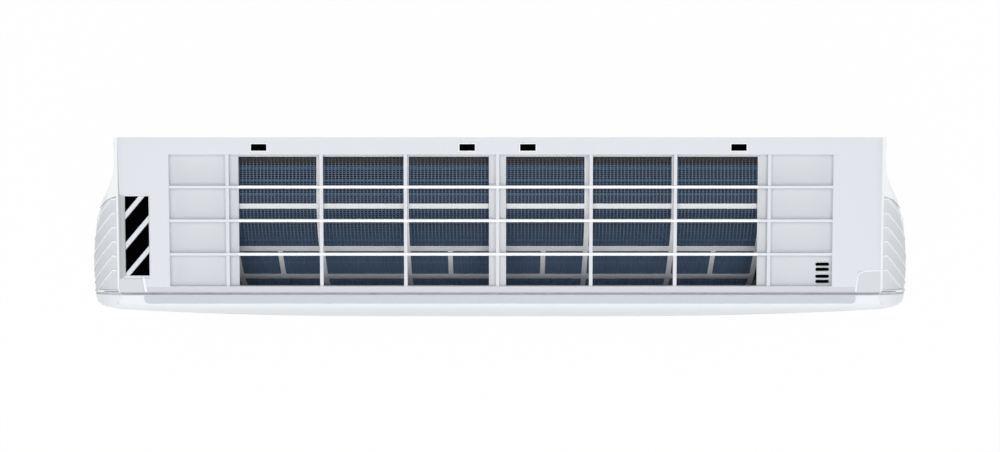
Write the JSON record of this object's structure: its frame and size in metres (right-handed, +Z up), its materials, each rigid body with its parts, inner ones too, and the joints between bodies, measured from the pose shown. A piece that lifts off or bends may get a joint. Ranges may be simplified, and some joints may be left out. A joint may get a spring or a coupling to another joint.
{
  "type": "split air conditioner indoor unit",
  "caption": "Wall-mounted indoor unit of a split air conditioner, with a bowed front panel, a top intake grille over filters, a cross-flow fan and a swinging louver.",
  "frame": {"origin": "on the wall plane at the back of the wall plate, at mid-width and mid-height of the casing", "axes": "+X along the unit to the right of the picture, +Y into the wall, +Z up"},
  "size_m": [0.886, 0.192, 0.29],
  "materials": {
    "casing_white": "satin",
    "panel_white": "gloss",
    "strip_grey": "satin",
    "vent_grey": "satin",
    "filter_grey": "satin",
    "mesh_dark": "matte",
    "fin_blue": "satin",
    "copper": "satin",
    "zinc_steel": "satin",
    "brass": "satin",
    "foam_white": "matte",
    "rubber_black": "matte",
    "base_grey": "matte",
    "fan_dark": "satin",
    "pan_white": "matte",
    "motor_silver": "satin",
    "board_green": "satin",
    "ivory": "satin",
    "sensor_orange": "satin"
  },
  "bodies": {
    "unit": {"front_frame": "casing_white", "side_vent_left": "vent_grey", "side_vent_right": "vent_grey", "chassis": "base_grey", "wall_plate": "zinc_steel", "wall_screws": "zinc_steel", "casing_screws": "zinc_steel", "screw_caps": "casing_white", "filter_frame_left": "filter_grey", "filter_mesh_left": "mesh_dark", "filter_frame_right": "filter_grey", "filter_mesh_right": "mesh_dark", "coil_upper": "fin_blue", "coil_front": "fin_blue", "coil_rear": "fin_blue", "coil_tubes": "copper", "coil_bends": "copper", "coil_plate_left": "zinc_steel", "coil_plate_right": "zinc_steel", "liquid_line": "copper", "gas_line": "copper", "liquid_union": "brass", "gas_union": "brass", "pipe_insulation": "foam_white", "drain_pan": "pan_white", "drain_plug": "rubber_black", "bearing_bush": "brass", "bearing_holder": "rubber_black", "fan_motor": "motor_silver", "motor_rings": "rubber_black", "motor_cover": "base_grey", "control_box": "vent_grey", "control_board": "board_green", "control_box_lid": "zinc_steel", "terminal_block": "ivory", "room_sensor": "sensor_orange", "display_board": "board_green", "louver_motor": "ivory", "vane_motors": "ivory"},
    "panel": {"front_panel": "panel_white", "panel_top_strip": "strip_grey", "panel_hinges": "panel_white"},
    "button": {"power_button": "vent_grey"},
    "flap": {"louver": "panel_white"},
    "fan": {"fan_wheel": "fan_dark", "fan_shaft": "zinc_steel"},
    "left_bar": {"link_left": "fan_dark"},
    "right_bar": {"link_right": "fan_dark"},
    "left_vane_1": {"vane_left_1": "fan_dark"},
    "left_vane_2": {"vane_left_2": "fan_dark"},
    "left_vane_3": {"vane_left_3": "fan_dark"},
    "left_vane_4": {"vane_left_4": "fan_dark"},
    "left_vane_5": {"vane_left_5": "fan_dark"},
    "right_vane_1": {"vane_right_1": "fan_dark"},
    "right_vane_2": {"vane_right_2": "fan_dark"},
    "right_vane_3": {"vane_right_3": "fan_dark"},
    "right_vane_4": {"vane_right_4": "fan_dark"},
    "right_vane_5": {"vane_right_5": "fan_dark"}
  },
  "joints": [
    {"name": "panel_hinge", "type": "hinge", "parent": "unit", "child": "panel", "pos_m": [0, -0.1696, 0.1244], "axis": [-1, 0, 0], "range_deg": [0, 68]},
    {"name": "louver_hinge", "type": "hinge", "parent": "unit", "child": "flap", "pos_m": [0, -0.112, -0.124], "axis": [1, 0, 0], "range_deg": [0, 75]},
    {"name": "fan_spin", "type": "hinge", "parent": "unit", "child": "fan", "pos_m": [0, -0.08, -0.012], "axis": [1, 0, 0], "continuous": true},
    {"name": "button_push", "type": "slide", "parent": "unit", "child": "button", "axis": [0, 1, 0], "range_m": [0, 0.0012], "stiffness_N_per_m": 400, "springref_m": -0.001},
    {"name": "left_vane_1_turn", "type": "hinge", "parent": "unit", "child": "left_vane_1", "pos_m": [-0.038, -0.06086, -0.1027], "axis": [0, -0.766, 0.6428], "range_deg": [-30, 30]},
    {"name": "left_vane_2_turn", "type": "hinge", "parent": "unit", "child": "left_vane_2", "pos_m": [-0.1, -0.06086, -0.1027], "axis": [0, -0.766, 0.6428], "range_deg": [-30, 30]},
    {"name": "left_vane_3_turn", "type": "hinge", "parent": "unit", "child": "left_vane_3", "pos_m": [-0.162, -0.06086, -0.1027], "axis": [0, -0.766, 0.6428], "range_deg": [-30, 30]},
    {"name": "left_vane_4_turn", "type": "hinge", "parent": "unit", "child": "left_vane_4", "pos_m": [-0.224, -0.06086, -0.1027], "axis": [0, -0.766, 0.6428], "range_deg": [-30, 30]},
    {"name": "left_vane_5_turn", "type": "hinge", "parent": "unit", "child": "left_vane_5", "pos_m": [-0.286, -0.06086, -0.1027], "axis": [0, -0.766, 0.6428], "range_deg": [-30, 30]},
    {"name": "left_bar_slide", "type": "slide", "parent": "unit", "child": "left_bar", "axis": [1, 0, 0], "range_m": [-0.00601, 0.00601]},
    {"name": "right_vane_1_turn", "type": "hinge", "parent": "unit", "child": "right_vane_1", "pos_m": [0.038, -0.06086, -0.1027], "axis": [0, -0.766, 0.6428], "range_deg": [-30, 30]},
    {"name": "right_vane_2_turn", "type": "hinge", "parent": "unit", "child": "right_vane_2", "pos_m": [0.1, -0.06086, -0.1027], "axis": [0, -0.766, 0.6428], "range_deg": [-30, 30]},
    {"name": "right_vane_3_turn", "type": "hinge", "parent": "unit", "child": "right_vane_3", "pos_m": [0.162, -0.06086, -0.1027], "axis": [0, -0.766, 0.6428], "range_deg": [-30, 30]},
    {"name": "right_vane_4_turn", "type": "hinge", "parent": "unit", "child": "right_vane_4", "pos_m": [0.224, -0.06086, -0.1027], "axis": [0, -0.766, 0.6428], "range_deg": [-30, 30]},
    {"name": "right_vane_5_turn", "type": "hinge", "parent": "unit", "child": "right_vane_5", "pos_m": [0.286, -0.06086, -0.1027], "axis": [0, -0.766, 0.6428], "range_deg": [-30, 30]},
    {"name": "right_bar_slide", "type": "slide", "parent": "unit", "child": "right_bar", "axis": [1, 0, 0], "range_m": [-0.00601, 0.00601]}
  ],
  "couplings": [
    {"joint": "left_vane_1_turn", "follows": "left_vane_5_turn", "ratio": 1},
    {"joint": "left_vane_2_turn", "follows": "left_vane_5_turn", "ratio": 1},
    {"joint": "left_vane_3_turn", "follows": "left_vane_5_turn", "ratio": 1},
    {"joint": "left_vane_4_turn", "follows": "left_vane_5_turn", "ratio": 1},
    {"joint": "left_bar_slide", "follows": "left_vane_5_turn", "m_per_rad": 0.011459},
    {"joint": "right_vane_1_turn", "follows": "right_vane_5_turn", "ratio": 1},
    {"joint": "right_vane_2_turn", "follows": "right_vane_5_turn", "ratio": 1},
    {"joint": "right_vane_3_turn", "follows": "right_vane_5_turn", "ratio": 1},
    {"joint": "right_vane_4_turn", "follows": "right_vane_5_turn", "ratio": 1},
    {"joint": "right_bar_slide", "follows": "right_vane_5_turn", "m_per_rad": 0.011459}
  ]
}
